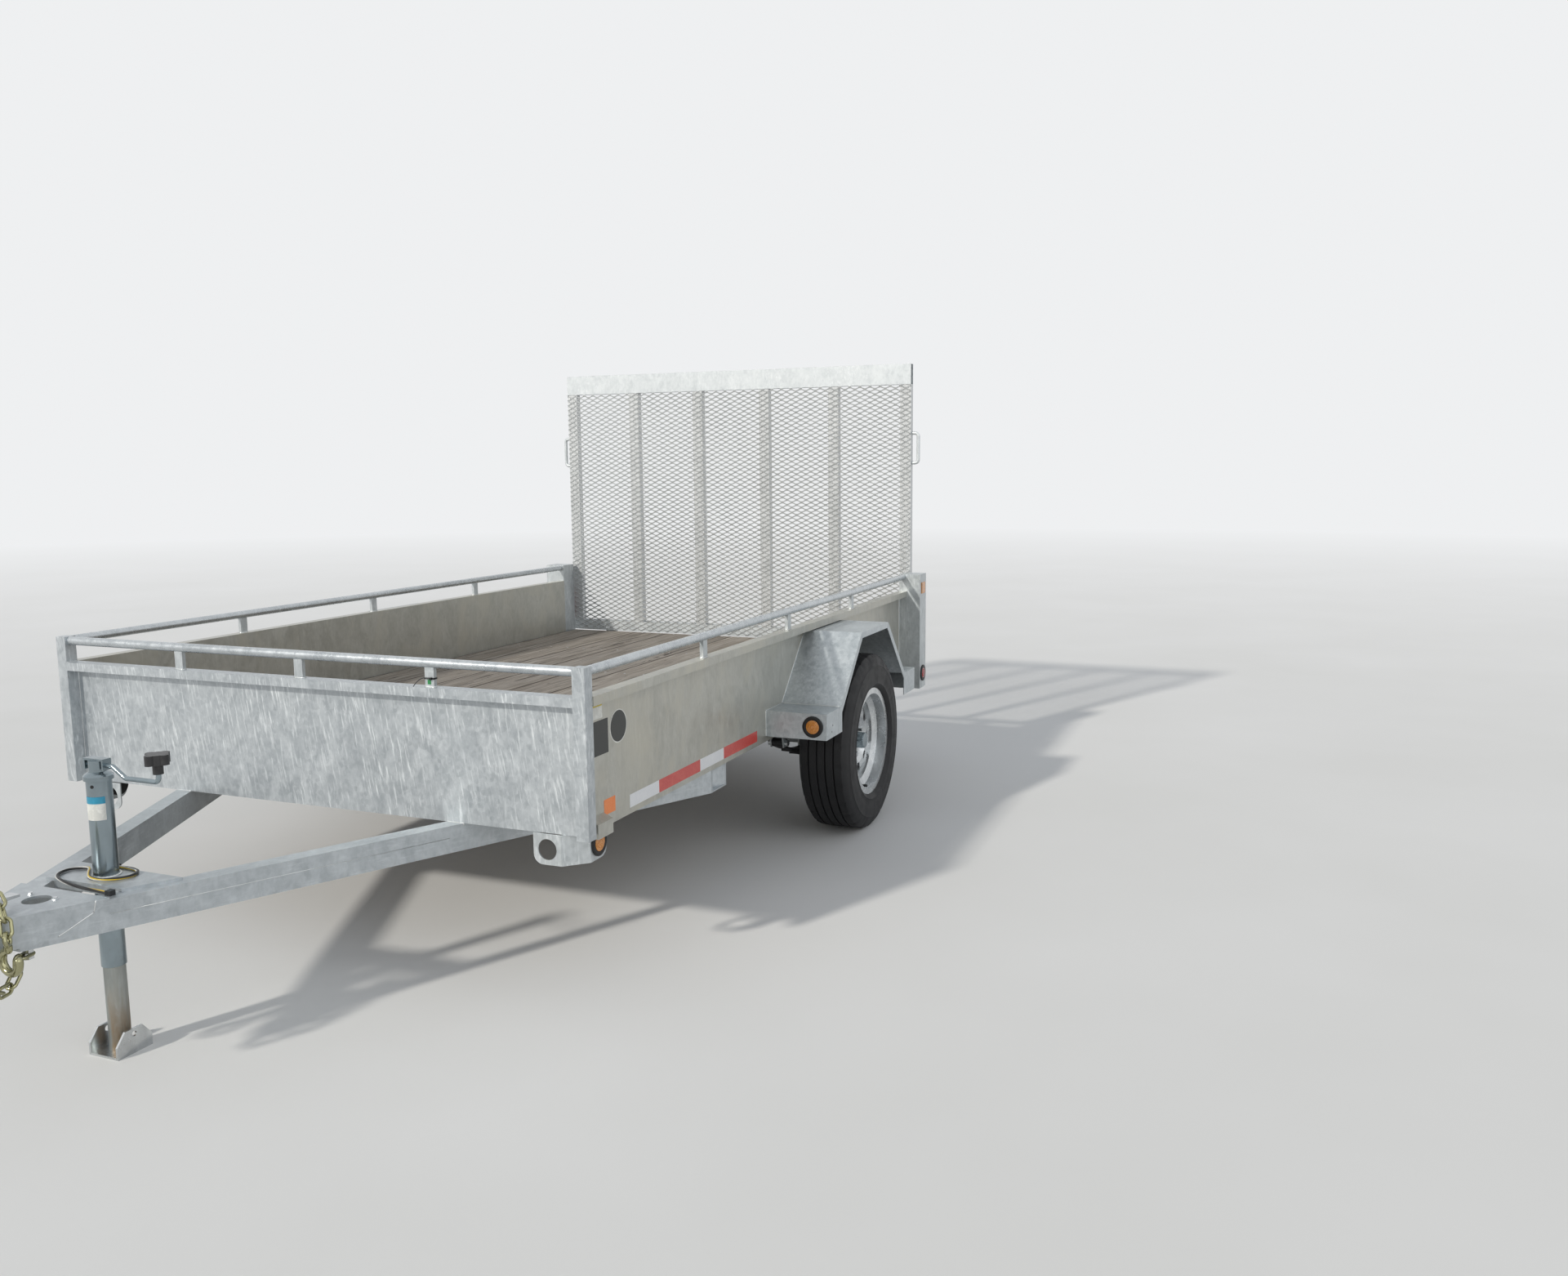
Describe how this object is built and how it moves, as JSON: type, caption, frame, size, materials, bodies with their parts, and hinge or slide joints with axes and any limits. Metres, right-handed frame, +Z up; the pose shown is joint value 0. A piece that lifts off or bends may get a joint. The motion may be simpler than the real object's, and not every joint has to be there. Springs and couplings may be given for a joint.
{
  "type": "utility trailer",
  "caption": "Galvanised single-axle utility trailer: open bed with wooden floor, A-frame tongue on a screw jack, fenders and a hinged mesh ramp gate.",
  "frame": {"origin": "on the ground, midway along and across the whole trailer, gate and coupler included", "axes": "+X forward to the coupler, +Y to the trailer's left, +Z up"},
  "size_m": [4.153, 2.295, 1.88],
  "materials": {
    "galvanised": "hot-dip galvanised steel, bright with vertical streaks",
    "zinc": "bright zinc plate",
    "yellow_zinc": "yellow passivated zinc plate",
    "rim_paint": "silver paint",
    "tyre": "black rubber",
    "deck_wood": "weathered grey softwood",
    "black_plastic": "black moulded plastic",
    "black_rubber": "black rubber",
    "amber_lens": "amber moulded lens",
    "red_lens": "red moulded lens",
    "lead_jacket": "bonded insulated wires, black, white and yellow"
  },
  "bodies": {
    "chassis": {"front_panel": "galvanised", "side_sheet_left": "galvanised", "side_sheet_right": "galvanised", "front_posts": "galvanised", "rear_posts": "galvanised", "front_rail": "galvanised", "side_rails": "galvanised", "rail_stakes": "galvanised", "deck_planks": "deck_wood", "side_members": "galvanised", "cross_members": "galvanised", "tongue_legs": "galvanised", "jack_plate": "galvanised", "coupler": "galvanised", "coupler_latch": "zinc", "chain_bolts": "zinc", "safety_chain_left": "yellow_zinc", "safety_chain_right": "yellow_zinc", "jack_tube": "zinc", "jack_head": "zinc", "jack_crank": "zinc", "jack_knob": "black_plastic", "fender_left": "galvanised", "fender_right": "galvanised", "axle_beam": "galvanised", "leaf_springs": "galvanised", "spring_hangers": "galvanised", "spring_bolts": "zinc", "axle_clamps": "galvanised", "corner_brackets": "galvanised", "lamp_guards": "galvanised", "lamp_grommets": "black_rubber", "amber_lamps": "amber_lens", "red_side_lamps": "red_lens", "tail_lamps": "red_lens", "side_reflectors": "amber_lens", "hinge_brackets": "galvanised", "wiring_clip": "black_plastic", "wiring_lead": "lead_jacket", "wiring_plug": "black_plastic"},
    "wheel_left": {"tyre_left": "tyre", "rim_left": "rim_paint", "hub_left": "zinc", "wheel_nuts_left": "zinc"},
    "wheel_right": {"tyre_right": "tyre", "rim_right": "rim_paint", "hub_right": "zinc", "wheel_nuts_right": "zinc"},
    "gate": {"gate_mesh": "galvanised", "gate_sill": "galvanised", "gate_top_channel": "galvanised", "gate_uprights": "galvanised", "gate_handles": "galvanised", "gate_knuckles": "galvanised"},
    "jack_leg": {"jack_ram": "zinc", "jack_foot": "zinc"}
  },
  "joints": [
    {"name": "wheel_left_spin", "type": "hinge", "parent": "chassis", "child": "wheel_left", "pos_m": [-0.8405, 1.045, 0.341], "axis": [0, 1, 0], "continuous": true},
    {"name": "wheel_right_spin", "type": "hinge", "parent": "chassis", "child": "wheel_right", "pos_m": [-0.8405, -1.045, 0.341], "axis": [0, 1, 0], "continuous": true},
    {"name": "gate_swing", "type": "hinge", "parent": "chassis", "child": "gate", "pos_m": [-2.0635, 0, 0.526], "axis": [0, -1, 0], "range_deg": [0, 112]},
    {"name": "jack_screw", "type": "slide", "parent": "chassis", "child": "jack_leg", "axis": [0, 0, 1], "range_m": [0, 0.21]}
  ]
}
